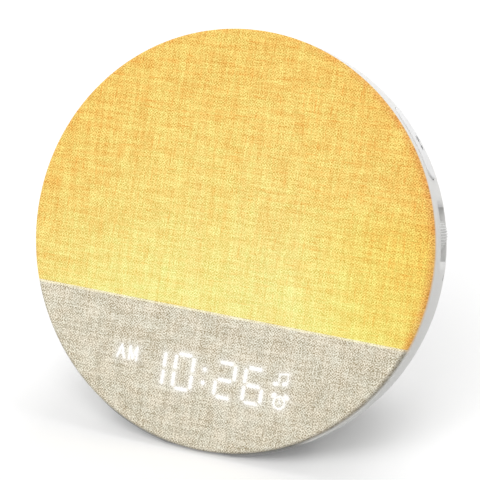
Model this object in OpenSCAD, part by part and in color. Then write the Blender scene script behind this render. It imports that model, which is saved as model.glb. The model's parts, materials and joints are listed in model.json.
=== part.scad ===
// Round bedside clock with a linen front that leans back, a lamp behind its upper part,
// a lit display behind its lower part, and a domed rear housing on a flat base.
// The origin is the centre of the base pad's underside, +Z up, the front faces -Y.
// Places on the clock are given in the face frame: x to the right, y up along the linen,
// and d the depth behind the linen's front.

/* [Front] */
// Radius of the linen front
front_r = 90; // [88:0.5:92]
// Backward lean of the front
lean = 24.2; // [22:0.2:26]
// Thickness of the linen
linen_t = 0.6; // [0.4:0.1:0.8]
// Depth of the linen's wrapped edge
linen_wrap = 3.0; // [2.8:0.1:3.2]
// Radius of the linen's front edge
linen_round = 1.4; // [1.2:0.1:1.6]
// Height of the divider on the face, from its centre
divider_y = -31.4; // [-33:0.2:-30]

/* [Housing] */
// Radius of the domed housing
dome_r = 90.4; // [90:0.1:91]
// Depth of the dome's centre behind the front
dome_d = 5.8; // [5.4:0.1:6.2]
// How far the dome sits below the front's centre
dome_drop = 0.7; // [0.4:0.1:0.9]
// Depth of the housing's flat back
back_d = 72; // [71:0.5:73]
// Radius that rounds the dome into the flat back
back_round = 12; // [10:1:14]
// Wall thickness
wall = 2.4; // [2.2:0.1:2.6]
// Gap between the table and the housing's flat base
base_gap = 0.8; // [0.7:0.1:1]

/* [Side keys] */
// Direction of the right key, from the right-hand horizontal upwards
key_angle = 37.4; // [36:0.2:39]
// Length of a key along the rim
key_l = 33.8; // [33:0.2:34.2]
// Width of a key along the depth
key_w = 11; // [10.6:0.2:11.4]
// Depth of a key's middle
key_d = 13; // [12.8:0.1:13.2]
// How far a side key's middle stands out of the dome
key_proud = 0.8; // [0.6:0.1:1]
// Radius of a side key's crown across its width
crown_r = 24; // [22:1:40]
// Gap round a key
key_gap = 0.4; // [0.3:0.05:0.45]

/* [Thumbwheel] */
// Direction of the thumbwheel
wheel_angle = 11.6; // [11:0.2:12]
// Radius of the thumbwheel
wheel_r = 9; // [8.8:0.1:9.2]
// Width of the thumbwheel
wheel_w = 12; // [11:0.5:12]
// Depth of the thumbwheel's front
wheel_d = 11.4; // [11.2:0.1:11.6]
// Number of ribs on the thumbwheel
wheel_ribs = 48; // [40:1:54]
// Length of the thumb recess along the rim
recess_l = 22.8; // [21:0.2:24]
// Width of the thumb recess
recess_w = 13.6; // [13.4:0.1:14]
// Depth of the thumb recess below the dome
recess_depth = 2.2; // [2:0.1:2.4]

/* [Display] */
// Height of a digit between the middles of its top and bottom bars
digit_h = 14.8; // [14:0.2:15.4]
// Width of a digit between the middles of its upright bars
digit_w = 8.1; // [7.8:0.1:8.4]
// Thickness of a bar
bar_t = 1.7; // [1.5:0.1:1.8]
// Height of the digits' middle on the face
digit_y = -58.4; // [-59:0.2:-58]

/* [Hidden] */

$fn = 72;
eps = 0.05;           // overshoot of a cut past a face
fit_gap = 0.1;        // gap between parts that are placed together
far = 300;            // larger than the clock

face_y = -5;                                               // face centre, across the base
rim_gap = 0.6;                                             // gap between the linen and the table
face_z = front_r * cos(lean) + linen_wrap * sin(lean) + rim_gap;

ring_r = front_r - linen_t;                                // outside of the front ring
plate_r = 83.4;                                            // pocket for the two front plates
plate_t = 2;                                               // thickness of the front plates
plate_d = linen_t;                                         // depth of the plates' front
ledge_r = 80;                                              // inside of the pocket's ledge
ledge_d = 7;                                               // rear of the ledge
skirt_r = 85.4;                                            // outside of the ring's skirt
skirt_d = 9;                                               // rear of the skirt
fold_r = 86.3;                                             // inner edge of the folded linen
baffle_t = 1.3;                                            // thickness of the light baffle
baffle_d = 13.8;                                           // rear of the light baffle

dish_d = 16;                                               // front of the dish's floor
dish_t = 1.6;                                              // wall of the dish
dish_r = 62;                                               // radius of the dish's floor
board_t = 1.6;                                             // thickness of a circuit board
led_pitch = 20;                                            // spacing of the lamps
led_field = 54;                                            // radius that the lamps fill

display_d = 12;                                            // front of the display board
block_d = 3.2;                                             // front of the digit block
digit_x = [-24.3, -11.2, 7.95, 20.9];                      // middles of the digits
colon_x = -1.7;                                            // the two dots
colon_h = 5.6;
sign_windows = [[-38.2, -54.6, 13, 8], [32.6, -53, 9.6, 7.6], [33.8, -62.4, 9.6, 9]];

board_d = 54;                                              // front of the main board
board_w = 72;
board_h = 40;
board_y = -37;                                             // middle of the main board
jack_x = 24;                                               // power inlet
jack_y = -38;

speaker_y = 14;                                            // speaker axis
speaker_r = 26;                                            // radius of the speaker's flange
speaker_x = -4;                                            // middle of its terminals
terminal_y = speaker_y - 23.2;
speaker_d = 67.6;                                          // front of the speaker's flange
grille_r = 20.5;                                           // radius that the grille fills
grille_pitch = 4;
grille_hole_r = 1.1;

screw_angles = [57, 123, 215, 325];                        // housing screws
screw_r = 83.6;                                            // their distance from the axis
screw_seat_d = 16.2;                                       // depth under the screw heads
ear_angles = [-12, 70, 110, 192];                          // ears that hold the dish

key_angles = [key_angle, 180 - key_angle, 90];             // right, left and snooze key
switch_x = 83.7;                                           // top of a switch, from the axis
switch_h = 3.5;
switch_pitch = 18;
post_pitch = 41;                                           // switch board posts
switch_board_x = switch_x - switch_h - board_t;            // its inner face, from the axis
switch_board_w = 7;

pad_r = 37;                                                // base pad
pad_t = 1.6;
pad_front = -35;
pad_back = 32.5;

wheel_x = 80.4;                                            // thumbwheel axis, from the face's
wheel_gap = 0.4;
shaft_r = 1.5;
encoder_d = 23.8;                                          // front of the encoder
encoder_t = 4.5;
encoder_board_t = 1.2;
encoder_post_x = 66;                                       // post under the encoder board

// ---------- frames and small helpers ----------

// The face frame, with z out of the linen.
module on_face() {
    translate([0, face_y, face_z]) rotate([90 - lean, 0, 0]) children();
}

// A flat shape made solid between two depths.
module layer(d_front, d_back) {
    translate([0, 0, -d_back]) linear_extrude(height = d_back - d_front) children();
}

// A pin along the depth.
module pin(r, d_front, d_back, x = 0, y = 0) {
    translate([x, y, -d_back]) cylinder(r = r, h = d_back - d_front);
}

// A ring along the depth.
module collar(r_out, r_in, d_front, d_back, x = 0, y = 0) {
    difference() {
        pin(r_out, d_front, d_back, x, y);
        pin(r_in, d_front - eps, d_back + eps, x, y);
    }
}

// A box between two depths, centred on a place of the face.
module block(size_x, size_y, d_front, d_back, x = 0, y = 0) {
    translate([x - size_x / 2, y - size_y / 2, -d_back])
        cube([size_x, size_y, d_back - d_front]);
}

// A place at a radius and an angle of the face.
module polar(r, a) {
    rotate(a) translate([r, 0, 0]) children();
}

function arc_points(r, a_from, a_to, cx, cy, steps) =
    [for (i = [0:steps]) let (a = a_from + (a_to - a_from) * i / steps)
        [cx + r * cos(a), cy + r * sin(a)]];

// Outline of the dome, by radius and depth, drawn in by inset.
function dome_outline(inset, front) =
    let (r = dome_r - inset, f = back_round - inset,
         fd = back_d - back_round, fr = sqrt(pow(dome_r - back_round, 2) - pow(fd - dome_d, 2)),
         turn = atan2(fd - dome_d, fr), start = asin((front - dome_d) / r))
    concat([[0, -front]],
           [for (p = arc_points(r, start, turn, 0, dome_d, 18)) [p[0], -p[1]]],
           [for (p = arc_points(f, turn + 5, 90, fr, fd, 7)) [p[0], -p[1]]],
           [[0, inset - back_d]]);

// Solid dome, in the face frame.
module dome(inset, front) {
    translate([0, -dome_drop, 0]) rotate_extrude($fn = 144) polygon(dome_outline(inset, front));
}

// Everything in the row frame above or below a height.
module above(z) {
    translate([-far / 2, -far / 2, z]) cube([far, far, far]);
}
module below(z) {
    above(z - far);
}

// The part of the face above or below the divider.
module upper_face(y) {
    translate([-far / 2, y]) square([far, far]);
}
module lower_face(y) {
    translate([-far / 2, y - far]) square([far, far]);
}

// Pan-head screw with its head towards the back.
module back_screw(shaft_r, length, head_r, head_h, seat_d) {
    pin(shaft_r, seat_d - length, seat_d);
    difference() {
        pin(head_r, seat_d, seat_d + head_h);
        block(head_r * 1.3, 0.6, seat_d + head_h * 0.5, seat_d + head_h + eps);
        block(0.6, head_r * 1.3, seat_d + head_h * 0.5, seat_d + head_h + eps);
    }
}

// Pan-head screw with its head towards the front.
module front_screw(shaft_r, length, head_r, head_h, seat_d) {
    pin(shaft_r, seat_d, seat_d + length);
    difference() {
        pin(head_r, seat_d - head_h, seat_d);
        block(head_r * 1.3, 0.6, seat_d - head_h - eps, seat_d - head_h * 0.5);
        block(0.6, head_r * 1.3, seat_d - head_h - eps, seat_d - head_h * 0.5);
    }
}

// ---------- front ----------

module fabric_cover() {
    edge = front_r - linen_round;
    inner = linen_round - linen_t;
    color("burlywood") on_face() rotate_extrude($fn = 144) polygon(concat(
        [[0, 0]],
        [for (p = arc_points(linen_round, 90, 0, edge, -linen_round, 5)) p],
        [[front_r, -linen_wrap], [fold_r, -linen_wrap], [fold_r, linen_t - linen_wrap],
         [ring_r, linen_t - linen_wrap]],
        [for (p = arc_points(inner, 0, 90, edge, -linen_round, 5)) p],
        [[0, -linen_t]]));
}

module ring_boss() {
    pin(3, 5, screw_seat_d - 3);
}

module front_ring() {
    edge = front_r - linen_round;
    inner = linen_round - linen_t - 0.02;
    flange_d = linen_wrap - linen_t;
    color("white") difference() {
        on_face() union() {
            rotate_extrude($fn = 144) polygon(concat(
                [[plate_r, -plate_d]],
                [for (p = arc_points(inner, 90, 0, edge, -linen_round, 4)) p],
                [[ring_r - 0.02, -flange_d], [skirt_r, -flange_d], [skirt_r, -skirt_d],
                 [plate_r, -skirt_d], [plate_r, -ledge_d], [ledge_r, -ledge_d],
                 [ledge_r, -plate_d - plate_t], [plate_r, -plate_d - plate_t]]));
            for (a = screw_angles) polar(screw_r, a) ring_boss();
        }
        on_face() {
            for (a = screw_angles) polar(screw_r, a) pin(1.35, 7.5, skirt_d + 8);
            for (a = ear_angles) polar((ledge_r + plate_r) / 2, a) pin(0.85, 3.6, ledge_d + eps);
        }
        // the skirt is cut short over the housing's flat base
        intersection() {
            on_face() block(far, far, linen_wrap - fit_gap, far);
            below(base_gap + wall + fit_gap);
        }
    }
}

module light_diffuser() {
    color("white") on_face() layer(plate_d, plate_d + plate_t) intersection() {
        circle(r = plate_r - 0.2, $fn = 144);
        upper_face(divider_y + baffle_t / 2 + fit_gap);
    }
}

module display_lens() {
    color("dimgray") on_face() layer(plate_d, plate_d + plate_t) intersection() {
        circle(r = plate_r - 0.2, $fn = 144);
        lower_face(divider_y - baffle_t / 2 - fit_gap);
    }
}

// Upright wall that keeps the lamps' light off the display.
module light_baffle() {
    color("white") on_face() difference() {
        union() {
            intersection() {
                union() {
                    pin(plate_r - 0.2, plate_d, plate_d + plate_t, $fn = 144);
                    pin(ledge_r - 0.2, plate_d, baffle_d, $fn = 144);
                }
                block(far, baffle_t, plate_d, baffle_d, 0, divider_y);
            }
            for (i = [-1, 1])
                block(8, 6, display_d - 4, display_d, i * display_screw_x, divider_y - 3.4);
        }
        for (i = [-1, 1])
            pin(1.15, display_d - 3.4, display_d + eps, i * display_screw_x, display_screw_y);
    }
}

// Rows of a triangular grid, as [x, y] places inside a circle.
function grid(pitch, field) =
    let (n = ceil(field / pitch) + 1, row = pitch * sqrt(3) / 2)
    [for (j = [-n:n]) for (i = [-n:n])
        let (x = (i + (abs(j) % 2) / 2) * pitch, y = j * row) if (norm([x, y]) <= field) [x, y]];

lamp_places = [for (p = grid(led_pitch, led_field)) if (p[1] > divider_y + 8) p];

module dish_cone(inset) {
    rear = dish_d + (inset > 0 ? 0 : dish_t);
    front = linen_wrap - 0.1;
    translate([0, 0, -rear])
        cylinder(h = rear - front + (inset > 0 ? eps : 0), r1 = dish_r - inset,
                 r2 = ledge_r - 0.3 - inset, $fn = 144);
}

module reflector_dish() {
    edge = divider_y + baffle_t / 2 + fit_gap;
    color("white") on_face() difference() {
        union() {
            intersection() {
                dish_cone(0);
                layer(0, 30) upper_face(edge);
            }
            for (a = ear_angles) polar(0, a) intersection() {
                block(12, 9, ledge_d, ledge_d + dish_t, 77, 0);
                pin(plate_r - 0.3, 0, 30, $fn = 144);
            }
        }
        intersection() {
            dish_cone(dish_t);
            layer(0, 30) upper_face(edge + dish_t);
        }
        for (p = lamp_places) pin(2.8, dish_d - eps, dish_d + dish_t + eps, p[0], p[1]);
        for (a = ear_angles) polar((ledge_r + plate_r) / 2, a) pin(1.1, ledge_d - 1, 10);
        for (p = lamp_screw_places) pin(1.05, dish_d - eps, dish_d + dish_t + eps, p[0], p[1]);
    }
}

lamp_screw_places = [[-50, 8.7], [50, 8.7], [-30, -8.7], [30, -8.7], [0, 52]];

module lamp_board() {
    rear = dish_d + dish_t;
    color("whitesmoke") on_face() difference() {
        layer(rear, rear + board_t) intersection() {
            circle(r = dish_r - 1);
            upper_face(divider_y + 2);
        }
        for (p = lamp_screw_places) pin(1.2, rear - eps, rear + board_t + eps, p[0], p[1]);
    }
}

module lamp_leds() {
    top = dish_d + dish_t;
    color("gold") on_face() for (p = lamp_places) {
        block(3.5, 2.8, top - 0.7, top, p[0], p[1]);
        pin(1.2, top - 0.85, top - 0.7, p[0], p[1], $fn = 24);
    }
}

// ---------- display ----------

// One bar with pointed ends, lying along x.
module bar(length, grow) {
    h = bar_t / 2 + grow;
    l = length / 2 + grow;
    polygon([[-l, 0], [h - l, h], [l - h, h], [l, 0], [l - h, -h], [h - l, -h]]);
}

// The seven bars of one digit.
module digit(grow) {
    gap = 0.35;
    half = digit_h / 2;
    for (j = [-1:1]) translate([0, j * half]) bar(digit_w - 2 * gap, grow);
    for (i = [-1, 1], j = [-1, 1])
        translate([i * digit_w / 2, j * half / 2]) rotate(90) bar(half - 2 * gap, grow);
}

module display_shapes(grow) {
    for (x = digit_x) translate([x, digit_y]) digit(grow);
    for (j = [-1, 1])
        translate([colon_x, digit_y + j * colon_h / 2]) circle(r = bar_t / 2 + grow, $fn = 32);
    for (w = sign_windows)
        translate([w[0], w[1]]) square([w[2] + 2 * grow, w[3] + 2 * grow], center = true);
}

module digit_block() {
    color("gainsboro") on_face() difference() {
        layer(block_d, display_d) {
            translate([-31, -68.2]) square([71.2, 19.7]);
            translate([-46, -60]) square([15.5, 11]);
        }
        layer(block_d - eps, display_d + eps) display_shapes(0.1);
    }
}

module digit_segments() {
    color("white") on_face() layer(block_d - 0.4, display_d - 1.2) display_shapes(0);
}

display_screw_x = 40;
display_screw_y = divider_y - 3.8;

module display_board() {
    color("darkgreen") on_face() difference() {
        layer(display_d, display_d + board_t)
            translate([-49, -70]) square([92, 70 + divider_y - baffle_t / 2 - 0.3]);
        for (i = [-1, 1])
            pin(1.2, display_d - eps, display_d + board_t + eps, i * display_screw_x,
                display_screw_y);
    }
}

display_led_places = concat(
    [for (x = digit_x) for (j = [-1:1]) [x, digit_y + j * digit_h / 2]],
    [for (x = digit_x) for (i = [-1, 1], j = [-1, 1])
        [x + i * digit_w / 2, digit_y + j * digit_h / 4]],
    [for (j = [-1, 1]) [colon_x, digit_y + j * colon_h / 2]],
    [for (w = sign_windows) for (i = [-1, 1]) [w[0] + i * 2.4, w[1]]]);

module display_leds() {
    color("lightyellow") on_face() for (p = display_led_places)
        block(1, 1, display_d - 0.6, display_d, p[0], p[1]);
}

// ---------- main board ----------

board_holes = [for (i = [-1, 1], j = [-1, 1])
    [i * (board_w / 2 - 4), board_y + j * (board_h / 2 - 4)]];

module main_board() {
    color("darkgreen") on_face() difference() {
        block(board_w, board_h, board_d, board_d + board_t, 0, board_y);
        for (p = board_holes) pin(1.3, board_d - eps, board_d + board_t + eps, p[0], p[1]);
    }
}

module processor_chip() {
    color("dimgray") on_face() difference() {
        block(10, 10, board_d - 1.4, board_d, 2, -30);
        pin(0.5, board_d - 1.4 - eps, board_d - 1.2, -1.6, -26.4, $fn = 24);
    }
}

module main_board_parts() {
    color("silver") on_face() {
        for (x = [-22, -14]) pin(3.1, board_d - 8, board_d, x, -24);
        pin(2.5, board_d - 6, board_d, -5.5, -46);
        block(6, 6, board_d - 2.8, board_d, 14, -26);
        block(5, 4, board_d - 1.2, board_d, 14, -36);
        block(8, 3.2, board_d - 3, board_d, 2, -41);
        for (i = [0:4]) block(1.6, 0.8, board_d - 0.6, board_d, 9 + 3 * i, -45.5);
        for (i = [0:4]) block(0.8, 1.6, board_d - 0.6, board_d, -8, -24 - 3 * i);
    }
}

ribbon_x = -4;                                             // plugs of the inner cables
ribbon_top_y = -53.5;
ribbon_low_y = -62;
lamp_plug = [20, -20];
lamp_socket = [27, -26];
control_socket = [2, -20];
speaker_socket_y = -22;

module board_connectors() {
    lamp_rear = dish_d + dish_t + board_t;
    color("ivory") on_face() {
        block(20, 4.6, board_d - 3, board_d, ribbon_x, ribbon_top_y);
        block(20, 4.6, display_d + board_t, display_d + board_t + 2, ribbon_x, ribbon_low_y);
        block(8, 5, board_d - 5, board_d, lamp_socket[0], lamp_socket[1]);
        block(8, 5, lamp_rear, lamp_rear + 4, lamp_plug[0], lamp_plug[1]);
        block(24, 4.6, board_d - 4, board_d, control_socket[0], control_socket[1]);
        block(6, 5, board_d + board_t, board_d + board_t + 5, speaker_x, speaker_socket_y);
    }
}

cell_x = -22;
cell_y = -42.5;

module cell_holder() {
    color("dimgray") on_face() difference() {
        union() {
            pin(11, board_d - 5, board_d, cell_x, cell_y);
            block(6, 10, board_d - 5, board_d, cell_x + 8.2, cell_y);
        }
        pin(10.1, board_d - 6, board_d - 1, cell_x, cell_y);
    }
}

module backup_cell() {
    color("silver") on_face() {
        pin(10, board_d - 4.2, board_d - 1, cell_x, cell_y);
    }
}

module power_jack() {
    front = board_d + board_t;
    color("dimgray") on_face() {
        difference() {
            block(9, 11, front, back_d - 1.4, jack_x, jack_y);
            pin(3.1, back_d - 11, back_d, jack_x, jack_y);
        }
        pin(1, back_d - 11 - eps, back_d - 2.4, jack_x, jack_y, $fn = 32);
    }
}

// ---------- speaker ----------

module turned(points) {
    on_face() translate([0, speaker_y, 0])
        rotate_extrude() polygon([for (p = points) [p[0], -p[1]]]);
}

module speaker_frame() {
    color("gray") difference() {
        union() {
            turned([[12, 57], [14.5, 57], [22.4, speaker_d - 1.2], [22.4, speaker_d],
                    [speaker_r, speaker_d], [speaker_r, speaker_d + 1.2],
                    [21.8, speaker_d + 1.2], [21.8, speaker_d - 0.8], [14, 58], [12, 58]]);
            on_face() block(8, 2.6, speaker_d - 2, speaker_d, speaker_x, terminal_y);
        }
        on_face() translate([0, speaker_y, 0]) {
            for (a = [30:60:330]) polar(0, a) block(12, 7, 58.6, speaker_d - 2.4, 19, 0);
            for (a = [45:90:315]) polar(24.2, a) pin(1.15, 60, 80);
        }
    }
}

module speaker_yoke() {
    color("silver") turned([[0, 48], [14, 48], [14, 50], [6, 50], [6, 57], [0, 57]]);
}

module speaker_magnet() {
    color("dimgray") turned([[8, 50], [14.2, 50], [14.2, 55], [8, 55]]);
}

module speaker_top_plate() {
    color("silver") turned([[7.4, 55], [14, 55], [14, 57], [7.4, 57]]);
}

module voice_coil() {
    color("peru") turned([[6.5, 52.5], [6.9, 52.5], [6.9, 60], [6.5, 60]]);
}

module speaker_cone() {
    color("dimgray") turned([[6.5, 60], [7, 60], [18.1, 67.7], [18.1, 68.3], [17.8, 68.3],
                             [6.9, 60.7], [6.5, 60.7]]);
}

module dust_cap() {
    color("gray") turned(concat([[7.2, 61]], [[7.2, 61.4]],
        [for (i = [0:5]) [6.4 * cos(15 * i + 15), 61.4 + 2 * sin(15 * i + 15)]],
        [[0, 63], [0, 62.6]],
        [for (i = [5:-1:0]) [6 * cos(15 * i + 15), 61 + 1.6 * sin(15 * i + 15)]]));
}

// Rubber half roll round the cone, with a land that sits on the flange.
module speaker_surround() {
    mid = 19.9;
    roll = 1.5;
    t = 0.4;
    top = speaker_d + 1.2;
    color("black") turned(concat(
        arc_points(roll, 0, -180, mid, top, 10),
        arc_points(roll - t, -180, 0, mid, top, 10),
        [[mid + roll - t, top + t], [22.6, top + t], [22.6, top]]));
}

// Corrugated cloth disc that centres the voice coil.
module speaker_spider() {
    steps = 10;
    t = 0.3;
    line = [for (i = [0:steps]) [7.3 + 0.47 * i, 58.35 + (i % 2) * 0.5]];
    color("peru") turned(concat(line, [[12.2, 58.05], [13.6, 58.05], [13.6, 58.05 + t]],
        [[12.2, 58.05 + t]], [for (i = [steps:-1:0]) [line[i][0], line[i][1] + t]]));
}

module speaker_gasket() {
    color("black") difference() {
        turned([[22.8, speaker_d + 1.2], [speaker_r, speaker_d + 1.2],
                [speaker_r, back_d - wall], [22.8, back_d - wall]]);
        on_face() translate([0, speaker_y, 0])
            for (a = [45:90:315]) polar(24.2, a) pin(1.15, 60, 80);
    }
}

// ---------- rear housing ----------

// Shape between two spheres round the dome's centre.
module shell(r_out, r_in) {
    translate([0, -dome_drop, -dome_d]) difference() {
        sphere(r = r_out, $fn = 144);
        sphere(r = r_in, $fn = 144);
    }
}

// A box in a key's frame: x outwards, y along the rim, d depth.
module key_box(x_from, x_to, length, d_front, d_back, y = 0) {
    translate([x_from, y - length / 2, -d_back])
        cube([x_to - x_from, length, d_back - d_front]);
}

// A pill-shaped block in a key's frame, lying along the rim.
module pill(x_from, x_to, length, width) {
    straight = length - width;
    translate([x_from, 0, -key_d]) rotate([0, 90, 0]) linear_extrude(height = x_to - x_from) {
        square([width, straight], center = true);
        for (j = [-1, 1]) translate([0, j * straight / 2]) circle(r = width / 2);
    }
}

module switch_posts() {
    for (j = [-1, 1]) translate([switch_x - switch_h, j * post_pitch / 2, -key_d])
        rotate([0, 90, 0]) cylinder(r = 2.2, h = 8);
}

module switch_post_bores() {
    for (j = [-1, 1]) translate([switch_x - switch_h - eps, j * post_pitch / 2, -key_d])
        rotate([0, 90, 0]) cylinder(r = 0.9, h = 3.6, $fn = 32);
}

module grille_holes() {
    for (p = grid(grille_pitch, grille_r))
        pin(grille_hole_r, back_d - wall - 1, back_d + 1, p[0], p[1] + speaker_y, $fn = 24);
}

module housing_shell() {
    difference() {
        intersection() {
            on_face() dome(0, linen_wrap);
            above(base_gap);
        }
        intersection() {
            on_face() dome(wall, linen_wrap - eps);
            above(base_gap + wall);
        }
    }
}

module housing_fixtures() {
    intersection() {
        on_face() dome(wall / 2, linen_wrap + 1);
        above(base_gap + wall / 2);
        on_face() union() {
            for (a = screw_angles) polar(screw_r, a) pin(4.2, screw_seat_d - 2.8, 48);
            for (a = key_angles) rotate(a) switch_posts();
            for (p = board_holes) pin(3, board_d + board_t, back_d - wall + 1, p[0], p[1]);
            collar(speaker_r + 1.5, speaker_r + 0.2, speaker_d - 0.2, back_d - wall + 1, 0, speaker_y);
            rotate(wheel_angle) {
                intersection() {
                    shell(dome_r, dome_r - recess_depth - 1.2);
                    key_box(80, 94, recess_l + 4, wheel_d - 2.4, wheel_d + 14.6);
                }
                pin(3.5, encoder_d + encoder_t + encoder_board_t, 70, encoder_post_x, 0);
            }
        }
    }
}

module rear_housing() {
    wheel_mid = wheel_d + wheel_w / 2;
    color("gainsboro") difference() {
        union() {
            housing_shell();
            housing_fixtures();
        }
        on_face() {
            for (a = key_angles) rotate(a) {
                pill(80, 96, key_l + 2 * key_gap, key_w + 2 * key_gap);
                switch_post_bores();
            }
            for (a = screw_angles) polar(screw_r, a) {
                pin(1.6, screw_seat_d - 4, 50);
                pin(2.8, screw_seat_d, 60);
            }
            for (p = board_holes) pin(1.05, board_d, board_d + 12, p[0], p[1]);
            rotate(wheel_angle) {
                intersection() {
                    shell(100, dome_r - recess_depth);
                    key_box(80, 96, recess_l, wheel_mid - recess_w / 2, wheel_mid + recess_w / 2);
                }
                pin(wheel_r + wheel_gap, wheel_d - wheel_gap, wheel_d + wheel_w + wheel_gap, wheel_x);
                pin(1.05, encoder_d + encoder_t, encoder_d + encoder_t + 9, encoder_post_x, 0);
            }
            grille_holes();
            block(9.6, 11.6, back_d - wall - eps, back_d + eps, jack_x, jack_y);
            translate([0, speaker_y, 0])
                for (a = [45:90:315]) polar(24.2, a) pin(1.05, back_d - wall - eps, back_d - 0.8);
        }
        base_recess();
    }
}

// ---------- base ----------

module pad_outline(grow) {
    intersection() {
        circle(r = pad_r + grow);
        translate([-far / 2, pad_front - grow]) square([far, pad_back - pad_front + 2 * grow]);
    }
}

module base_recess() {
    translate([0, 0, -eps]) linear_extrude(height = pad_t + eps) pad_outline(fit_gap);
}

module base_pad() {
    color("dimgray") linear_extrude(height = pad_t) pad_outline(0);
}

// ---------- keys ----------

key_leg_w = 4.4;                                           // width and ends of a key's legs
key_leg_in = key_l / 2 - 2;
key_leg_out = key_l / 2 - 0.6;
key_hook_out = key_l / 2 + 0.9;
snooze_crown_r = 44;                                       // flush with the dome
key_foot = 83.2;                                           // inner end of the legs
key_roof = 87.4;                                           // top of the hollow in a key

module key_cap() {
    cap_wall = 1.4;
    difference() {
        intersection() {
            pill(86.5, 96, key_l, key_w);
            children();
        }
        pill(80, key_roof, key_l - 2 * cap_wall, key_w - 2 * cap_wall);
    }
    for (j = [-1, 1]) {
        key_leg(j, key_roof + 0.6, key_leg_out);
        key_leg(j, key_foot + 1.5, key_hook_out);
        translate([switch_x + 1.2, j * switch_pitch / 2, -key_d])
            rotate([0, 90, 0]) cylinder(r = 2.2, h = key_roof + 0.4 - switch_x - 1.2);
    }
}

// A leg of a key up to a height, with its outer face at a distance along the rim.
module key_leg(side, top, y_out) {
    key_box(key_foot, top, y_out - key_leg_in, key_d - key_leg_w / 2, key_d + key_leg_w / 2,
            side * (y_out + key_leg_in) / 2);
}

// A key's crowned outside follows the rim, like a ring with a round section.
module key_crown(proud, radius) {
    tilt = asin((key_d - dome_d) / dome_r);
    reach = dome_r + proud - radius;
    translate([0, -dome_drop, 0]) rotate_extrude($fn = 240)
        translate([reach * cos(tilt), -dome_d - reach * sin(tilt)]) circle(r = radius, $fn = 240);
}

module key(a, proud = key_proud, radius = crown_r) {
    on_face() rotate(a) key_cap() rotate(-a) key_crown(proud, radius);
}

module plungers(a) {
    on_face() rotate(a) for (j = [-1, 1])
        translate([switch_x - 0.7, j * switch_pitch / 2, -key_d])
            rotate([0, 90, 0]) cylinder(r = 1.7, h = 1.9, $fn = 48);
}

module switches(a) {
    on_face() rotate(a) for (j = [-1, 1]) difference() {
        key_box(switch_x - switch_h, switch_x, 6, key_d - 3, key_d + 3, j * switch_pitch / 2);
        translate([switch_x - 1.6, j * switch_pitch / 2, -key_d])
            rotate([0, 90, 0]) cylinder(r = 1.78, h = 2, $fn = 48);
    }
}

module switch_board(a) {
    x = switch_board_x;
    half = switch_board_w / 2;
    on_face() rotate(a) difference() {
        key_box(x, x + board_t, post_pitch + 6, key_d - half, key_d + half);
        for (j = [-1, 1]) translate([x - eps, j * post_pitch / 2, -key_d])
            rotate([0, 90, 0]) cylinder(r = 1, h = board_t + 2 * eps, $fn = 32);
    }
}

module switch_board_screws() {
    x = switch_board_x;
    color("silver") on_face() for (a = key_angles) rotate(a) for (j = [-1, 1])
        translate([x, j * post_pitch / 2, -key_d]) rotate([0, 90, 0]) {
            cylinder(r = 0.85, h = board_t + 3, $fn = 32);
            translate([0, 0, -1]) cylinder(r = 1.6, h = 1, $fn = 32);
        }
}

module right_key() { color("white") key(key_angles[0]); }
module left_key() { color("white") key(key_angles[1]); }
module snooze_key() { color("white") key(key_angles[2], 0, snooze_crown_r); }
module right_plungers() { color("dimgray") plungers(key_angles[0]); }
module left_plungers() { color("dimgray") plungers(key_angles[1]); }
module snooze_plungers() { color("dimgray") plungers(key_angles[2]); }
module right_switches() { color("black") switches(key_angles[0]); }
module left_switches() { color("black") switches(key_angles[1]); }
module snooze_switches() { color("black") switches(key_angles[2]); }
module right_switch_board() { color("darkgreen") switch_board(key_angles[0]); }
module left_switch_board() { color("darkgreen") switch_board(key_angles[1]); }
module snooze_switch_board() { color("darkgreen") switch_board(key_angles[2]); }

// ---------- thumbwheel ----------

module at_wheel() {
    on_face() rotate(wheel_angle) translate([wheel_x, 0, 0]) children();
}

module volume_wheel() {
    rib = 0.6;
    step = 360 / wheel_ribs;
    color("gainsboro") at_wheel() difference() {
        layer(wheel_d, wheel_d + wheel_w) polygon([for (i = [0:wheel_ribs - 1]) for (k = [0:3])
            let (a = step * (i + [0, 0.3, 0.5, 0.8][k]), r = k < 2 ? wheel_r : wheel_r - rib)
            [r * cos(a), r * sin(a)]]);
        pin(shaft_r + 0.02, wheel_d - eps, wheel_d + wheel_w + eps);
        collar(6.6, 3.2, wheel_d - eps, wheel_d + 3);
    }
}

module wheel_shaft() {
    color("silver") at_wheel() pin(shaft_r, wheel_d - 0.6, encoder_d + 3);
}

module encoder_body() {
    color("dimgray") at_wheel() difference() {
        block(7.6, 8, encoder_d, encoder_d + encoder_t, -0.8);
        pin(shaft_r + 0.06, encoder_d - eps, encoder_d + 3.4);
    }
}

module encoder_board() {
    front = encoder_d + encoder_t;
    color("darkgreen") on_face() rotate(wheel_angle) difference() {
        key_box(59, 83, 12, front, front + encoder_board_t);
        pin(1.2, front - eps, front + encoder_board_t + eps, encoder_post_x, 0);
    }
}

// ---------- fasteners ----------

module housing_screws() {
    color("silver") on_face() for (a = screw_angles) polar(screw_r, a)
        back_screw(1.3, 8.2, 2.4, 1.8, screw_seat_d);
}

module dish_screws() {
    color("silver") on_face() for (a = ear_angles) polar((ledge_r + plate_r) / 2, a)
        back_screw(0.8, 4.6, 1.6, 1.2, ledge_d + dish_t);
}

module lamp_board_screws() {
    color("silver") on_face() for (p = lamp_screw_places) translate([p[0], p[1], 0])
        back_screw(1, 2.9, 1.9, 1.3, dish_d + dish_t + board_t);
}

module display_screws() {
    color("silver") on_face() for (i = [-1, 1])
        translate([i * display_screw_x, display_screw_y, 0])
            back_screw(1.1, 4.6, 1.9, 1.3, display_d + board_t);
}

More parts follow.
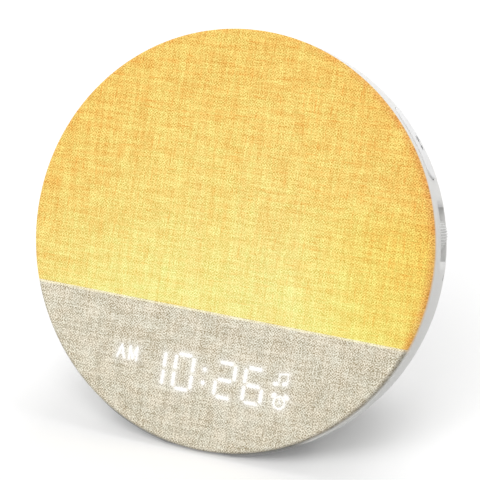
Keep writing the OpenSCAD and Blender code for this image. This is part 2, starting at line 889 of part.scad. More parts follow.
module main_board_screws() {
    color("silver") on_face() {
        for (p = board_holes) translate([p[0], p[1], 0]) front_screw(1, 8, 2, 1.4, board_d);
        rotate(wheel_angle) translate([encoder_post_x, 0, 0])
            front_screw(1, 6, 1.9, 1.3, encoder_d + encoder_t);
    }
}

module speaker_screws() {
    color("silver") on_face() translate([0, speaker_y, 0]) for (a = [45:90:315])
        polar(24.2, a) front_screw(1, 3.4, 1.7, 1.1, speaker_d);
}

// ---------- inner cables ----------

// Flat ribbon in a gentle S between the display board and the main board.
module display_ribbon() {
    from = [ribbon_low_y, display_d + board_t + 2];
    to = [ribbon_top_y, board_d - 3];
    t = 0.5;
    steps = 16;
    path = [for (i = [0:steps]) let (u = i / steps)
        [from[0] + (to[0] - from[0]) * (1 - cos(180 * u)) / 2, from[1] + (to[1] - from[1]) * u]];
    color("lightgray") on_face() translate([ribbon_x - 8, 0, 0]) rotate([90, 0, 90])
        linear_extrude(height = 16) polygon(concat(
            [for (p = path) [p[0], -p[1]]],
            [for (i = [steps:-1:0]) [path[i][0] + t, -path[i][1]]]));
}

// Round wire that leaves two faces square to them, along the directions out and back.
module wire(from, out, to, back, slack, r) {
    steps = 14;
    sides = 8;
    p1 = from + out * slack;
    p2 = to + back * slack;
    turn = norm(cross(out, back)) > 0.1 ? cross(out, back) : cross(out, to - from);
    rings = [for (i = [0:steps]) let (u = i / steps, v = 1 - u)
        [from * v * v * v + p1 * 3 * v * v * u + p2 * 3 * v * u * u + to * u * u * u,
         (p1 - from) * v * v + (p2 - p1) * 2 * v * u + (to - p2) * u * u]];
    points = [for (c = rings)
        let (dir = c[1] / norm(c[1]), side = cross(dir, turn), a = side / norm(side),
             b = cross(dir, a))
        for (k = [0:sides - 1])
            c[0] + r * (a * cos(360 * k / sides) + b * sin(360 * k / sides))];
    walls = [for (i = [0:steps - 1]) for (k = [0:sides - 1]) let (n = (k + 1) % sides)
        [i * sides + k, (i + 1) * sides + k, (i + 1) * sides + n, i * sides + n]];
    polyhedron(points, concat([[for (k = [0:sides - 1]) k]], walls,
        [[for (k = [sides - 1:-1:0]) steps * sides + k]]));
}

module lamp_leads() {
    start_d = dish_d + dish_t + board_t + 4;
    color("red") on_face() for (i = [-1, 1])
        wire([lamp_plug[0] + 1.2 * i, lamp_plug[1], -start_d], [0, 0, -1],
             [lamp_socket[0] + 1.2 * i, lamp_socket[1], 5 - board_d], [0, 0, 1], 9, 0.6);
}

module speaker_leads() {
    color("black") on_face() for (i = [-1, 1])
        wire([speaker_x + 1.2 * i, speaker_socket_y + 2.5, -board_d - board_t - 2.5], [0, 1, 0],
             [speaker_x + 1.2 * i, terminal_y - 1.3, 1 - speaker_d], [0, -1, 0], 5, 0.5);
}

// Leads from the rear edges of the switch boards, and from the encoder board, to the main board.
module control_leads() {
    end_d = board_d - 4;
    start_d = key_d + switch_board_w / 2;
    encoder_rear = encoder_d + encoder_t + encoder_board_t;
    ends = [5.5, -7.5, -1];
    color("gray") on_face() {
        for (k = [0:2]) let (a = key_angles[k], out = [cos(a), sin(a), 0], s = [-sin(a), cos(a), 0])
            for (i = [-1, 1])
                wire(out * (switch_board_x + board_t / 2) + s * i - [0, 0, start_d], [0, 0, -1],
                     [ends[k] - i, control_socket[1], -end_d], [0, 0, 1], 14, 0.5);
        for (i = [-1:1]) let (a = wheel_angle, out = [cos(a), sin(a), 0], s = [-sin(a), cos(a), 0])
            wire(out * 60.6 + s * 2 * i - [0, 0, encoder_rear], [0, 0, -1],
                 [10.8 - 2.4 * i, control_socket[1], -end_d], [0, 0, 1], 9, 0.5);
    }
}

fabric_cover();
front_ring();
light_diffuser();
display_lens();
light_baffle();
reflector_dish();
lamp_board();
lamp_leds();
display_board();
digit_block();
digit_segments();
display_leds();
main_board();
processor_chip();
main_board_parts();
board_connectors();
cell_holder();
backup_cell();
power_jack();
speaker_frame();
speaker_yoke();
speaker_magnet();
speaker_top_plate();
voice_coil();
speaker_cone();
dust_cap();
speaker_surround();
speaker_spider();
speaker_gasket();
rear_housing();
base_pad();
right_key();
right_plungers();
right_switches();
right_switch_board();
left_key();
left_plungers();
left_switches();
left_switch_board();
snooze_key();
snooze_plungers();
snooze_switches();
snooze_switch_board();
volume_wheel();
wheel_shaft();
encoder_body();
encoder_board();
housing_screws();
dish_screws();
lamp_board_screws();
display_screws();
main_board_screws();
speaker_screws();
switch_board_screws();
display_ribbon();
lamp_leads();
speaker_leads();
control_leads();
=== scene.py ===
"""Finished look of a round wake-up clock: woven linen front with its lamp light and lit
display, moulded housing with printed key marks, inner parts, and a plain studio stage.
Laid out as an add-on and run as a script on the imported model."""

import json
import math

import bmesh
import bpy
from mathutils import Matrix, Vector

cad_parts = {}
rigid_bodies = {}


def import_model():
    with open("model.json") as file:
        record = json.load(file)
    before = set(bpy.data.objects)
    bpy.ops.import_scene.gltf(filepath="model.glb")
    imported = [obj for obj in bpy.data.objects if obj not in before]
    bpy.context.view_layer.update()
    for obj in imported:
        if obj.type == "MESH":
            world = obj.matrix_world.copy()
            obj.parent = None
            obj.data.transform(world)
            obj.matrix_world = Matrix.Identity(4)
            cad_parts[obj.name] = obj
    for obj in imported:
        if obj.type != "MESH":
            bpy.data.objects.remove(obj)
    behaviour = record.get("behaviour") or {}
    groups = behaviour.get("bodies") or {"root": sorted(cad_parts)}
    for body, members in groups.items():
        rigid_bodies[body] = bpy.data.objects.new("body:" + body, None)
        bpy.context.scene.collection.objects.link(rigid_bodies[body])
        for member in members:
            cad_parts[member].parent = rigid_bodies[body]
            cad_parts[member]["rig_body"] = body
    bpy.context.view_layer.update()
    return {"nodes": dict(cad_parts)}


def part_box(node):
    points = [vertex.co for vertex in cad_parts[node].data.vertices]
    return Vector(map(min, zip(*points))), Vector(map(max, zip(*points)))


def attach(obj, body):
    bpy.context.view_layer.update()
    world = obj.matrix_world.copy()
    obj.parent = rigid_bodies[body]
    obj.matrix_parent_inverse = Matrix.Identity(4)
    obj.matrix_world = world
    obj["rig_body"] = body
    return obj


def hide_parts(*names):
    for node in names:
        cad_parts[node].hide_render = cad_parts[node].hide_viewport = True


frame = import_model()

bl_info = {
    "name": "Round wake-up clock",
    "version": (1, 0, 0),
    "blender": (4, 5, 0),
    "location": "3D View > Sidebar > Clock",
    "description": "Dresses the packed model of a round clock with a linen front",
    "category": "Object",
}

MM = 0.001
TINY = 1e-7
WHITE = (1.0, 1.0, 1.0)
LINEN_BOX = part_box("fabric_cover")

# In millimetres, in the face frame: x right, y up along the linen, z out of it.
FRONT_R = 90.0
DIVIDER_Y = -31.4
DOME_R = 90.4
DOME_DEPTH = 5.8
DOME_DROP = 0.7
KEY_DEPTH = 13.0
MARK_DEPTH = 11.8
WHEEL_MARK_DEPTH = 22.4
# each key's direction in degrees, how far it stands out of the dome, and its crown's radius
KEYS = {"right": (37.4, 0.8, 24.0), "left": (142.6, 0.8, 24.0), "snooze": (90.0, 0.0, 44.0)}
WHEEL_SIDE = (0.4,)  # the thumbwheel's direction in degrees


# ---------------------------------------------------------------- settings


class ClockSettings(bpy.types.PropertyGroup):
    """Sizes and colours of the clock's visible finish."""

    front_radius: bpy.props.FloatProperty(
        name="Front radius",
        description="Radius of the linen front",
        default=(LINEN_BOX[1].x - LINEN_BOX[0].x) / 2,
        unit="LENGTH",
    )
    lean: bpy.props.FloatProperty(
        name="Lean",
        description="Backward lean of the front",
        default=math.radians(24.2),
        subtype="ANGLE",
        unit="ROTATION",
    )
    linen_thickness: bpy.props.FloatProperty(
        name="Linen thickness",
        description="Thickness of the cloth",
        default=0.6 * MM,
        unit="LENGTH",
    )
    linen_wrap: bpy.props.FloatProperty(
        name="Linen wrap",
        description="How far the cloth wraps back over the rim",
        default=3.0 * MM,
        unit="LENGTH",
    )
    weave_pitch: bpy.props.FloatProperty(
        name="Weave pitch",
        description="Distance between two threads",
        default=0.63 * MM,
        unit="LENGTH",
        precision=5,
    )
    hour: bpy.props.IntProperty(
        name="Hour", description="Hour on the display", default=10, min=0, max=99
    )
    minute: bpy.props.IntProperty(
        name="Minute", description="Minute on the display", default=26, min=0, max=99
    )
    linen_light: bpy.props.FloatVectorProperty(
        name="Linen, light threads",
        description="Colour of the linen's light threads",
        default=(1.0, 0.965, 0.83),
        subtype="COLOR",
    )
    linen_dark: bpy.props.FloatVectorProperty(
        name="Linen, dark threads",
        description="Colour of the linen's dark threads",
        default=(0.32, 0.255, 0.145),
        subtype="COLOR",
    )
    lamp_low: bpy.props.FloatVectorProperty(
        name="Lamp light, near the divider",
        description="Colour of the lit linen just above the divider",
        default=(0.925, 0.840, 0.270),
        subtype="COLOR",
    )
    lamp_high: bpy.props.FloatVectorProperty(
        name="Lamp light, at the top",
        description="Colour of the lit linen near the top and the rim",
        default=(0.918, 0.568, 0.118),
        subtype="COLOR",
    )
    housing_colour: bpy.props.FloatVectorProperty(
        name="Housing",
        description="Colour of the moulded housing",
        default=(0.90, 0.895, 0.87),
        subtype="COLOR",
    )


def settings():
    return bpy.context.scene.clock_settings


# ---------------------------------------------------------------- small helpers

MERGE_GAP = 2e-6
FLAT_ANGLE = 0.004
LARGE_WALL = 300 * MM * MM


def face_matrix():
    """Places the face frame, x right, y up along the linen, z out of it, in the row frame."""
    low, high = LINEN_BOX
    lean, radius, wrap = settings().lean, settings().front_radius, settings().linen_wrap
    centre_z = low.z + radius * math.cos(lean) + wrap * math.sin(lean)
    centre_y = high.y - radius * math.sin(lean) - wrap * math.cos(lean)
    turn = Matrix.Rotation(math.pi / 2 - lean, 4, "X")
    return Matrix.Translation((0, centre_y, centre_z)) @ turn


def raise_if(problem, message):
    if problem:
        raise RuntimeError(message)


def once(items):
    """The items without repeats, in their own order, so that each run does the same."""
    return list(dict.fromkeys(items))


def finished_object(name, bm, body, material, smooth_angle):
    """Turns a bmesh into a smooth-shaded piece at the origin that rides on a body."""
    mesh = bpy.data.meshes.new(name)
    bm.to_mesh(mesh)
    bm.free()
    mesh.materials.append(material)
    piece = bpy.data.objects.new(name, mesh)
    bpy.context.scene.collection.objects.link(piece)
    mesh.shade_smooth()
    mesh.set_sharp_from_angle(angle=math.radians(smooth_angle))
    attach(piece, body)
    return piece


def wall_outlines(bm, least_area):
    """Indices of the edges round each flat wall that is larger than an area. They are
    marked sharp, so that a narrow rounding beside a wall doesn't shade it."""
    bm.edges.index_update()
    outlines, seen = [], set()
    for start in bm.faces:
        if start in seen:
            continue
        seen.add(start)
        wall, queue = {start}, [start]
        while queue:
            for edge in queue.pop().edges:
                if len(edge.link_faces) == 2 and edge.calc_face_angle() < FLAT_ANGLE:
                    fresh = [face for face in edge.link_faces if face not in seen]
                    seen.update(fresh)
                    wall.update(fresh)
                    queue += fresh
        if sum(face.calc_area() for face in wall) > least_area:
            outlines += [edge.index for face in wall for edge in face.edges
                         if not all(other in wall for other in edge.link_faces)]
    return outlines


def smooth_copy(node, name, material, smooth_angle=32.0):
    """A merged, smooth-shaded copy of a CAD node that stands for it."""
    bm = bmesh.new()
    bm.from_mesh(frame["nodes"][node].data)
    bmesh.ops.remove_doubles(bm, verts=bm.verts, dist=MERGE_GAP)
    for face in bm.faces:
        face.material_index = 0
    outlines = wall_outlines(bm, LARGE_WALL)
    piece = finished_object(name, bm, frame["nodes"][node]["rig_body"], material, smooth_angle)
    for index in outlines:
        piece.data.edges[index].use_edge_sharp = True
    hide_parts(node)
    return piece


# ---------------------------------------------------------------- material helpers

# the factor and the two colours of a colour mix, and its result, among the node's sockets
MIX_SOCKETS = (0, 6, 7)
MIX_RESULT = 2


def start_material(name):
    material = bpy.data.materials.new(name)
    material.use_nodes = True
    return material, material.node_tree, material.node_tree.nodes["Principled BSDF"]


def put(tree, socket, value):
    """Links a socket or sets a plain value."""
    if isinstance(value, bpy.types.NodeSocket):
        tree.links.new(value, socket)
    elif isinstance(value, (tuple, list)) and len(value) == 3 and len(socket.default_value) == 4:
        socket.default_value = (*value, 1.0)
    else:
        socket.default_value = value


def calc(tree, operation, a, b=None, c=None, clamp=False):
    """One step of arithmetic with sockets or plain numbers."""
    made = tree.nodes.new("ShaderNodeMath")
    made.operation = operation
    made.use_clamp = clamp
    for socket, value in zip(made.inputs, (a, b, c)):
        if value is not None:
            put(tree, socket, value)
    return made.outputs[0]


def weighted(tree, parts, total=0.0, clamp=False):
    """Adds up values, each times its weight, and limits the sum to 0 to 1 if wished."""
    for step, (value, weight) in enumerate(parts, 1):
        total = calc(tree, "MULTIPLY_ADD", value, weight, total, clamp and step == len(parts))
    return total


def ease(tree, value, low, high, out_low=0.0, out_high=1.0):
    """A smooth step from one result to another while the value goes from low to high."""
    made = tree.nodes.new("ShaderNodeMapRange")
    made.interpolation_type = "SMOOTHSTEP"
    for socket, number in zip(made.inputs, (value, low, high, out_low, out_high)):
        put(tree, socket, number)
    return made.outputs[0]


def blend(tree, factor, a, b, mode="MIX"):
    made = tree.nodes.new("ShaderNodeMix")
    made.data_type = "RGBA"
    made.blend_type = mode
    for index, value in zip(MIX_SOCKETS, (factor, a, b)):
        put(tree, made.inputs[index], value)
    return made.outputs[MIX_RESULT]


def tint(tree, colour, filter_colour):
    """A colour seen through a filter."""
    return blend(tree, 1.0, colour, filter_colour, "MULTIPLY")


def tint_between(tree, factor, colour, low, high):
    """A colour that goes from one filter to another with the factor."""
    return blend(tree, factor, tint(tree, colour, low), tint(tree, colour, high))


def place(tree, location=(0, 0, 0), rotation=(0, 0, 0), scale=(1, 1, 1), kind="TEXTURE"):
    """Object coordinates, centred, turned and scaled."""
    coords = tree.nodes.new("ShaderNodeTexCoord")
    mapping = tree.nodes.new("ShaderNodeMapping")
    mapping.vector_type = kind
    mapping.inputs["Location"].default_value = location
    mapping.inputs["Rotation"].default_value = rotation
    mapping.inputs["Scale"].default_value = scale
    tree.links.new(coords.outputs["Object"], mapping.inputs["Vector"])
    return mapping.outputs[0]


def face_place(tree):
    """Object coordinates in the face frame, in millimetres."""
    matrix = face_matrix()
    return place(tree, matrix.to_translation(), matrix.to_euler(), (MM, MM, MM))


def stretch(tree, vector, scale, location=(0, 0, 0)):
    mapping = tree.nodes.new("ShaderNodeMapping")
    mapping.inputs["Scale"].default_value = scale
    mapping.inputs["Location"].default_value = location
    tree.links.new(vector, mapping.inputs["Vector"])
    return mapping.outputs[0]


def noise(tree, vector, scale, detail=2.0, rough=0.5):
    made = tree.nodes.new("ShaderNodeTexNoise")
    for socket, value in (("Scale", scale), ("Detail", detail), ("Roughness", rough)):
        made.inputs[socket].default_value = value
    tree.links.new(vector, made.inputs["Vector"])
    return made.outputs["Fac"]


def split(tree, vector):
    made = tree.nodes.new("ShaderNodeSeparateXYZ")
    tree.links.new(vector, made.inputs[0])
    return made.outputs


def bump(tree, shader, height, distance, strength=0.5):
    made = tree.nodes.new("ShaderNodeBump")
    made.inputs["Strength"].default_value = strength
    made.inputs["Distance"].default_value = distance
    tree.links.new(height, made.inputs["Height"])
    tree.links.new(made.outputs[0], shader.inputs["Normal"])


def moulded(name, colour, rough=0.5, grain=0.06, tone=0.05, scale=2600.0):
    """Moulded plastic: fine spark texture, faint flow marks, uneven gloss."""
    material, tree, shader = start_material(name)
    where = place(tree)
    flow = noise(tree, where, 60.0, 3.0)
    fine = noise(tree, where, scale, 2.0, 0.6)
    dark = tuple(c * (1 - tone) for c in colour)
    light = tuple(min(1.0, c * (1 + tone * 0.6)) for c in colour)
    put(tree, shader.inputs["Base Color"], blend(tree, ease(tree, flow, 0.3, 0.7), dark, light))
    put(tree, shader.inputs["Roughness"], ease(tree, flow, 0.2, 0.8, rough - 0.06, rough + 0.06))
    bump(tree, shader, fine, grain * MM, 0.5)
    return material


def turned_metal(name, colour, rough=0.32, lines=(300.0, 300.0, 6000.0)):
    """Bright or plated metal with fine drawing lines."""
    material, tree, shader = start_material(name)
    where = place(tree, kind="POINT", scale=lines)
    fine = noise(tree, where, 1.0, 3.0, 0.6)
    dark = tuple(c * 0.82 for c in colour)
    put(tree, shader.inputs["Base Color"], blend(tree, ease(tree, fine, 0.3, 0.7), dark, colour))
    put(tree, shader.inputs["Roughness"], ease(tree, fine, 0.2, 0.8, rough - 0.08, rough + 0.1))
    shader.inputs["Metallic"].default_value = 1.0
    bump(tree, shader, fine, 0.02 * MM, 0.4)
    return material


# ---------------------------------------------------------------- linen

# Lengths are in millimetres, and places are in the face frame.
# how far the threads wander, how soft a crossing's edge is, and how flat a thread's top is
WANDER = 1.2
CROSSING_EDGE = 0.25
THREAD_CROWN = 0.7
# how far a thread's shade runs on along it, and how far the noise steps between threads
SHADE_DRIFT = 0.09
SHADE_STEP = 7.31
UPRIGHT_SEED = 3.0
LYING_SEED = 500.0
# where noise turns into bundles of threads, single threads and slubs
BUNDLE_STEP = (0.30, 0.70)
THREAD_STEP = (0.34, 0.66)
SLUB_STEP = (0.70, 0.80)
# colours of the plain cloth, and where it is shaded along the rim
PATCH_TINTS = ((1.03, 0.995, 0.96), (0.995, 1.0, 0.99))
SHADE_COLOUR = (0.30, 0.27, 0.22)
SHADE_R = (88.4, 90.0)
SHADE_SHARE = 0.42
# how near the lamps seem: a curve over the height, and how it falls towards the sides
NEAR_CURVE = (0.00005, -0.0105, 0.774)
SIDE_POWER = 2.5
SIDE_FALL = (0.003, -0.486)
# where the lamp light is deeper, and where it glows red along the rim
DEEP_X = (25.0, 72.0)
DEEP_Y = (8.0, 36.0)
GLOW_R = (86.5, 90.2)
GLOW_X = (5.0, 65.0)
GLOW_SHARE = 0.62
GLOW_SHARE_LEFT = 0.2
# filters on the lamp light, each far from the divider and near it
DENSE_TINTS = ((0.96, 0.72, 0.56), (0.99, 0.84, 0.70))
SHEER_TINTS = ((1.03, 1.27, 1.43), (1.01, 1.14, 1.28))
DIM_TINTS = ((0.68, 0.45, 0.16), (0.74, 0.70, 0.38))
GLEAM_TINTS = ((1.30, 1.47, 1.78), (1.25, 1.25, 1.57))
DEEP_TINT = (1.0, 1.0, 0.80)
GLOW_COLOUR = (0.82, 0.36, 0.09)
# how far above the divider the lamp light starts, and how far the painted line of light along the
# divider reaches from it
LIT_START = (0.2, 0.7)
DIVIDER_GLOW_FADE = (0.1, 0.75)
# how far below the divider the light still has the lamps' colour
COLOUR_BELOW = 3.0
# how the lit linen, the painted line of light along the divider and the display reflect and shine
LIT_ALBEDO = (0.42, 0.42, 0.42)
DIVIDER_GLOW_COLOUR = (0.88, 0.82, 0.62)
DISPLAY_COLOUR = (0.84, 0.84, 0.82)
LIT_STRENGTH = 0.56
DIVIDER_GLOW_STRENGTH = 0.2
DISPLAY_STRENGTH = 0.32
# how high the threads stand, in metres
RELIEF = 0.16 * MM


def thread_shade(tree, along, across, pitch, seed):
    """One shade for each thread, drifting along it."""
    number = calc(tree, "FLOOR", calc(tree, "MULTIPLY_ADD", across, 1 / pitch, 0.5))
    spot = tree.nodes.new("ShaderNodeCombineXYZ")
    put(tree, spot.inputs[0], calc(tree, "MULTIPLY", along, SHADE_DRIFT))
    put(tree, spot.inputs[1], calc(tree, "MULTIPLY_ADD", number, SHADE_STEP, seed))
    return ease(tree, noise(tree, spot.outputs[0], 1.0, 2.0, 0.6), 0.36, 0.64)


def weave(tree, where, pitch):
    """Plain weave: whether the upright thread is on top, how high the top thread stands,
    and its shade."""
    axes = split(tree, where)
    wander = noise(tree, stretch(tree, where, (0.25, 0.25, 0.0)), 1.0, 1.0)
    shift = calc(tree, "MULTIPLY", wander, WANDER)
    moved = [calc(tree, "ADD", axis, shift) for axis in axes[:2]]
    turns = [calc(tree, "COSINE", calc(tree, "MULTIPLY", axis, math.pi / pitch))
             for axis in moved]
    cross = calc(tree, "MULTIPLY", turns[0], turns[1])
    upright = ease(tree, cross, -CROSSING_EDGE, CROSSING_EDGE)
    height = calc(tree, "POWER", calc(tree, "ABSOLUTE", cross), THREAD_CROWN)
    standing = thread_shade(tree, axes[1], moved[0], pitch, UPRIGHT_SEED)
    lying = thread_shade(tree, axes[0], moved[1], pitch, LYING_SEED)
    shade = calc(tree, "MULTIPLY_ADD", upright, calc(tree, "SUBTRACT", standing, lying), lying)
    return upright, height, shade


def lanes(tree, where, scales, shift, step, detail, rough=0.85):
    """Noise drawn out along the threads of one direction: uneven thickness, or slubs."""
    lane = stretch(tree, where, (*scales, 0.0), (shift, shift, 0.0))
    return ease(tree, noise(tree, lane, 1.0, detail, rough), *step)


def cloth_texture(tree, where):
    """What the weave looks like, from 0 to 1: how light a crossing is (fine), how sheer its
    threads are over a longer run (coarse), slubs, broad patches, and the thread's height."""
    flat = stretch(tree, where, (1.0, 1.0, 0.0))
    upright, height, shade = weave(tree, where, settings().weave_pitch / MM)
    grain = ease(tree, noise(tree, flat, 1.7, 2.0, 0.8), 0.42, 0.58)
    fine = weighted(tree, ((upright, 0.32), (height, 0.12), (grain, 0.62), (shade, 0.30)), -0.14)
    bundles = calc(tree, "ADD", lanes(tree, where, (0.22, 0.08), 3.0, BUNDLE_STEP, 1.0),
                   lanes(tree, where, (0.07, 0.22), 11.0, BUNDLE_STEP, 1.0))
    threads = calc(tree, "ADD", lanes(tree, where, (0.5, 0.045), 5.0, THREAD_STEP, 1.0),
                   lanes(tree, where, (0.045, 0.5), 13.0, THREAD_STEP, 1.0))
    slub = calc(tree, "MAXIMUM", lanes(tree, where, (0.12, 1.1), 7.0, SLUB_STEP, 0.0, 0.5),
                lanes(tree, where, (1.1, 0.12), 19.0, SLUB_STEP, 0.0, 0.5))
    coarse = weighted(tree, ((bundles, 0.15), (threads, 0.35)))
    patch = ease(tree, noise(tree, flat, 0.16, 2.0), 0.3, 0.7)
    return fine, coarse, slub, patch, height


def lamp_nearness(tree, axes):
    """1 where the lamps light the linen most, near the divider. It falls with the height and
    towards both sides."""
    bend, slope, level = NEAR_CURVE
    height = calc(tree, "MULTIPLY_ADD", axes[1], bend, slope)
    height = calc(tree, "MULTIPLY_ADD", height, axes[1], level)
    side = calc(tree, "ABSOLUTE", calc(tree, "DIVIDE", axes[0], FRONT_R))
    side = calc(tree, "POWER", side, SIDE_POWER)
    fall = calc(tree, "MULTIPLY", side, calc(tree, "MULTIPLY_ADD", axes[1], *SIDE_FALL))
    return calc(tree, "ADD", height, fall, clamp=True)


def lamp_glow(tree, axes, radius, texture):
    """Colour of the lamp light that comes through the linen."""
    fine, coarse, slub, patch, _ = texture
    near = lamp_nearness(tree, axes)
    light = blend(tree, near, settings().lamp_high[:], settings().lamp_low[:])
    deep = calc(tree, "MULTIPLY", ease(tree, axes[0], *DEEP_X),
                ease(tree, axes[1], *DEEP_Y, 1.0, 0.0))
    light = tint(tree, light, blend(tree, deep, WHITE, DEEP_TINT))
    rim = calc(tree, "MULTIPLY", ease(tree, radius, *GLOW_R, 0.0, GLOW_SHARE),
               ease(tree, axes[0], *GLOW_X, GLOW_SHARE_LEFT, 1.0))
    light = blend(tree, rim, light, GLOW_COLOUR)
    sheer = weighted(tree, ((patch, 0.12), (coarse, 0.74), (slub, -0.45)), 0.07, clamp=True)
    glow = tint_between(tree, sheer, light, blend(tree, near, *DENSE_TINTS),
                        blend(tree, near, *SHEER_TINTS))
    return tint_between(tree, fine, glow, blend(tree, near, *DIM_TINTS),
                        blend(tree, near, *GLEAM_TINTS))


def linen_material():
    """Woven linen that glows above the divider and carries the lit display below it."""
    material, tree, shader = start_material("linen_lit")
    where = face_place(tree)
    axes = split(tree, where)
    texture = cloth_texture(tree, where)
    fine, coarse, slub, patch, height = texture
    radius = calc(tree, "SQRT", calc(tree, "ADD", calc(tree, "MULTIPLY", axes[0], axes[0]),
                                     calc(tree, "MULTIPLY", axes[1], axes[1])))

    tone = weighted(tree, ((fine, 1.20), (coarse, 0.34), (slub, -0.22)), -0.25, clamp=True)
    cloth = blend(tree, tone, settings().linen_dark[:], settings().linen_light[:])
    cloth = tint_between(tree, patch, cloth, *PATCH_TINTS)
    cloth = blend(tree, ease(tree, radius, *SHADE_R, 0.0, SHADE_SHARE), cloth, SHADE_COLOUR)

    lit = ease(tree, axes[1], *(DIVIDER_Y + above for above in LIT_START))
    glow = lamp_glow(tree, axes, radius, texture)
    off_divider = calc(tree, "ABSOLUTE", calc(tree, "SUBTRACT", axes[1], DIVIDER_Y))
    # painted line of light along the divider, laid into the linen's colour and its glow
    divider_glow = calc(tree, "MULTIPLY", ease(tree, off_divider, *DIVIDER_GLOW_FADE, 1.0, 0.0),
                calc(tree, "MULTIPLY_ADD", fine, 0.6, 0.55), clamp=True)
    marks = tree.nodes.new("ShaderNodeAttribute")
    marks.attribute_name = "display"
    shine = calc(tree, "MULTIPLY", marks.outputs["Fac"],
                 calc(tree, "MULTIPLY_ADD", fine, 0.5, 0.66), clamp=True)

    base = blend(tree, lit, cloth, tint(tree, glow, LIT_ALBEDO))
    base = blend(tree, calc(tree, "MULTIPLY", divider_glow, 0.6), base, DIVIDER_GLOW_COLOUR)
    put(tree, shader.inputs["Base Color"], blend(tree, shine, base, DISPLAY_COLOUR))
    strength = calc(tree, "MAXIMUM", calc(tree, "MULTIPLY", lit, LIT_STRENGTH),
                    calc(tree, "MULTIPLY", divider_glow, DIVIDER_GLOW_STRENGTH))
    strength = calc(tree, "MAXIMUM", strength, calc(tree, "MULTIPLY", shine, DISPLAY_STRENGTH))
    coloured = calc(tree, "GREATER_THAN", axes[1], DIVIDER_Y - COLOUR_BELOW)
    put(tree, shader.inputs["Emission Color"], blend(tree, coloured, WHITE, glow))
    put(tree, shader.inputs["Emission Strength"], strength)
    for socket, value in (("Roughness", 0.92), ("Specular IOR Level", 0.2),
                          ("Sheen Weight", 0.08), ("Sheen Roughness", 0.5)):
        shader.inputs[socket].default_value = value
    bump(tree, shader, weighted(tree, ((coarse, 0.5), (height, 0.55))), RELIEF, 0.6)
    return material


# ---------------------------------------------------------------- display

# Lengths are in millimetres, and places are in the face frame.
# a figure's bars: t top, m middle, b bottom, u and U upper left and right, l and L lower
SEGMENTS = {
    0: "tbuUlL", 1: "UL", 2: "tmbUl", 3: "tmbUL", 4: "muUL",
    5: "tmbuL", 6: "tmbulL", 7: "tUL", 8: "tmbuUlL", 9: "tmbuUL",
}
SEGMENT_ENDS = {
    "t": (-1, 1, 1, 1), "m": (-1, 0, 1, 0), "b": (-1, -1, 1, -1),
    "u": (-1, 0, -1, 1), "U": (1, 0, 1, 1), "l": (-1, -1, -1, 0), "L": (1, -1, 1, 0),
}
DISPLAY_Y = -58.4
DIGIT_X = (-24.3, -11.2, 7.95, 20.9)
DIGIT_HALF_W = 4.05
DIGIT_HALF_H = 7.4
BAR_HALF = 0.87
# how far the bars end short of the corners
LEVEL_INSET = 1.78
UPRIGHT_INSET = 1.42
SIGNS = (  # two ends and half the width
    # the two dots
    (-1.7, -55.5, -1.7, -55.5, 1.05), (-1.7, -61.2, -1.7, -61.2, 1.05),
    # A and M
    (-42.3, -57.2, -40.8, -52.2, 0.6), (-40.8, -52.2, -39.1, -57.2, 0.62),
    (-41.7, -55.6, -39.8, -55.6, 0.42),
    (-36.8, -57.3, -36.8, -52.1, 0.6), (-36.8, -52.2, -35.2, -56.8, 0.6),
    (-35.2, -56.8, -33.6, -52.2, 0.6), (-33.5, -52.1, -33.4, -57.3, 0.6),
    # the note
    (32.0, -51.2, 35.8, -50.5, 0.42), (32.0, -51.2, 31.9, -55.0, 0.30),
    (35.8, -50.5, 35.8, -54.6, 0.32),
    (30.4, -55.5, 31.2, -55.3, 0.92), (34.4, -54.9, 35.1, -54.7, 0.92),
    # the alarm clock's hands and bells
    (33.4, -63.0, 33.4, -61.8, 0.30), (33.4, -63.0, 34.2, -63.2, 0.30),
    (30.5, -60.6, 31.0, -60.1, 0.98), (36.0, -60.1, 36.6, -60.6, 0.98),
)
RINGS = ((33.4, -63.1, 2.5, 0.5),)  # the alarm clock: middle, radius and half the width
DISPLAY_FIELD = (-48, 44, -71, -46)  # left, right, low and high
FAR_OFF = 9.0
# how far inside a stroke's edge its shine starts to fade and how far it takes to fade, and
# how strong the halo round it is and how soon that fades
CORE_INSET = 0.3
CORE_FADE = 0.75
HALO_SHARE = 0.36
HALO_FADE = 1.4
# a net of squares under the display, and the cuts in each square
NET_X = (-46, -24, -2, 20, 42)
NET_Y = (-69, -47)
NET_CUTS = 62


def display_strokes(hour, minute):
    """Strokes of the display as (start, end, half width) in face millimetres."""
    strokes = []
    figures = (hour // 10, hour % 10, minute // 10, minute % 10)
    for figure, x in zip(figures, DIGIT_X):
        for name in SEGMENTS[figure]:
            x0, y0, x1, y1 = SEGMENT_ENDS[name]
            a = Vector((x + x0 * DIGIT_HALF_W, DISPLAY_Y + y0 * DIGIT_HALF_H))
            b = Vector((x + x1 * DIGIT_HALF_W, DISPLAY_Y + y1 * DIGIT_HALF_H))
            inward = (b - a).normalized() * (LEVEL_INSET if name in "tmb" else UPRIGHT_INSET)
            strokes.append((a + inward, b - inward, BAR_HALF))
    strokes += [(Vector((x0, y0)), Vector((x1, y1)), half) for x0, y0, x1, y1, half in SIGNS]
    return strokes


def stroke_distance(point, strokes):
    """Distance from a point to the nearest stroke's edge, negative inside it."""
    best = FAR_OFF
    for a, b, half in strokes:
        span = b - a
        length = span.length_squared
        share = 0.0 if length == 0 else max(0.0, min(1.0, (point - a).dot(span) / length))
        best = min(best, (point - a - span * share).length - half)
    for x, y, radius, half in RINGS:
        best = min(best, abs((point - Vector((x, y))).length - radius) - half)
    return best


